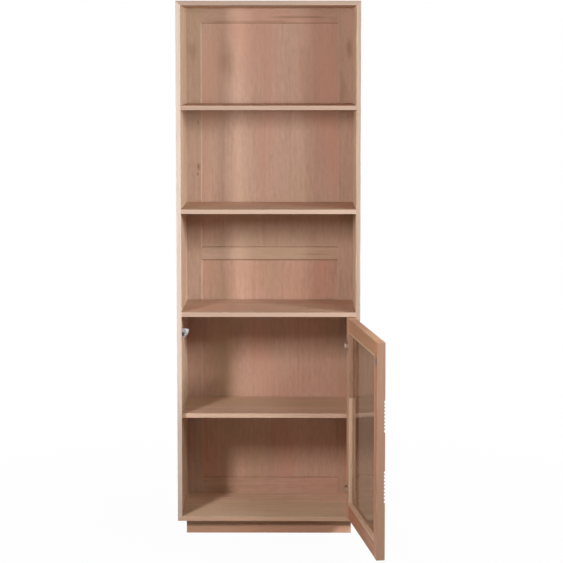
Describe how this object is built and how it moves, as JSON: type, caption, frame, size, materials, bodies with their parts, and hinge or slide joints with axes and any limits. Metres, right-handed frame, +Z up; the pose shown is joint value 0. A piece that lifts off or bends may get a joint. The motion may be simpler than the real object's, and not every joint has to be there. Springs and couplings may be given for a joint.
{
  "type": "bookcase with glass door",
  "caption": "Tall narrow bookcase of pale solid wood with open bays above a cupboard closed by a framed glass door on concealed hinges.",
  "frame": {"origin": "on the floor under the middle of the carcass, on the underside of the plinth's brace", "axes": "+X to the right seen from the front, +Y to the back, +Z up"},
  "size_m": [0.7114, 1.0037, 1.9],
  "materials": {
    "carcass_wood": "whitewashed, matt lacquer",
    "back_wood": "whitewashed, matt lacquer",
    "door_wood": "whitewashed, matt lacquer",
    "plinth_wood": "whitewashed, matt lacquer",
    "bare_wood": "unfinished",
    "tinted_glass": "warm tint, polished",
    "hinge_nickel": "nickel plated",
    "screw_steel": "zinc plated",
    "catch_zinc": "die cast, satin",
    "magnet_black": "matt",
    "strike_steel": "dark plated"
  },
  "bodies": {
    "carcass": {"back_bottom_rail": "back_wood", "back_left_stile": "back_wood", "back_lower_panel": "back_wood", "back_middle_rail": "back_wood", "back_right_stile": "back_wood", "back_screws": "screw_steel", "back_top_rail": "back_wood", "back_upper_panel": "back_wood", "bottom_panel": "carcass_wood", "catch_housing": "catch_zinc", "catch_magnet": "magnet_black", "catch_screws": "screw_steel", "cupboard_shelf": "carcass_wood", "divider_shelf": "carcass_wood", "hinge_arm_screws": "screw_steel", "hinge_plate_screws": "screw_steel", "left_side_panel": "carcass_wood", "lower_hinge_arm": "hinge_nickel", "lower_hinge_plate": "hinge_nickel", "middle_shelf": "carcass_wood", "mitre_splines": "bare_wood", "plinth_back": "plinth_wood", "plinth_brace": "bare_wood", "plinth_corner_blocks": "bare_wood", "plinth_front": "plinth_wood", "plinth_left": "plinth_wood", "plinth_right": "plinth_wood", "plinth_screws": "screw_steel", "right_side_panel": "carcass_wood", "shelf_dowels": "bare_wood", "top_panel": "carcass_wood", "upper_hinge_arm": "hinge_nickel", "upper_hinge_plate": "hinge_nickel", "upper_shelf": "carcass_wood"},
    "hinge_links": {"lower_hinge_link": "hinge_nickel", "upper_hinge_link": "hinge_nickel"},
    "door": {"bottom_bead": "door_wood", "door_bottom_rail": "door_wood", "door_free_stile": "door_wood", "door_glass": "tinted_glass", "door_hinge_stile": "door_wood", "door_top_rail": "door_wood", "free_side_bead": "door_wood", "hinge_cup_screws": "screw_steel", "hinge_side_bead": "door_wood", "lower_hinge_cup": "hinge_nickel", "strike_plate": "strike_steel", "strike_screw": "screw_steel", "top_bead": "door_wood", "upper_hinge_cup": "hinge_nickel"}
  },
  "joints": [
    {"name": "door_swing", "type": "hinge", "parent": "carcass", "child": "door", "pos_m": [0.3025, -0.1965, 0.426], "axis": [0, 0, 1], "range_deg": [-97.6, 12.4]},
    {"name": "hinge_link_turn", "type": "hinge", "parent": "carcass", "child": "hinge_links", "pos_m": [0.3025, -0.1965, 0.426], "axis": [0, 0, 1], "range_deg": [-48.8, 6.2]}
  ],
  "couplings": [
    {"joint": "hinge_link_turn", "follows": "door_swing", "ratio": 0.5}
  ]
}
